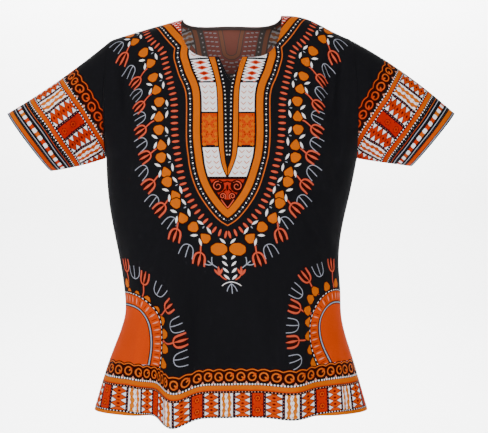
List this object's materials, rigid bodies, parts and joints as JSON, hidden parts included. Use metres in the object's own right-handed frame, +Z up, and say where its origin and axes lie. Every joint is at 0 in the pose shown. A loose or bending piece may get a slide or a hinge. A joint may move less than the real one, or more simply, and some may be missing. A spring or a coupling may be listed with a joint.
{
  "type": "dashiki shirt",
  "caption": "Short-sleeved pullover dashiki shirt in printed cotton, with a round notched neck, dropped sleeves and side vents, in its worn hollow shape.",
  "frame": {"origin": "midway between the two points where the shoulder seams meet the neckline, where the wearer's shoulders carry the garment", "axes": "+Z up, +X towards the cuff of the wearer's left sleeve, +Y towards the back, so the front faces -Y"},
  "size_m": [0.828, 0.2838, 0.7463],
  "materials": {
    "front_cotton": "printed woven cotton, matt with a faint sheen",
    "back_cotton": "printed woven cotton, matt with a faint sheen",
    "sleeve_left_cotton": "printed woven cotton, matt with a faint sheen",
    "sleeve_right_cotton": "printed woven cotton, matt with a faint sheen"
  },
  "bodies": {
    "root": {"front_panel": "front_cotton", "back_panel": "back_cotton", "sleeve_left": "sleeve_left_cotton", "sleeve_right": "sleeve_right_cotton"}
  },
  "joints": []
}
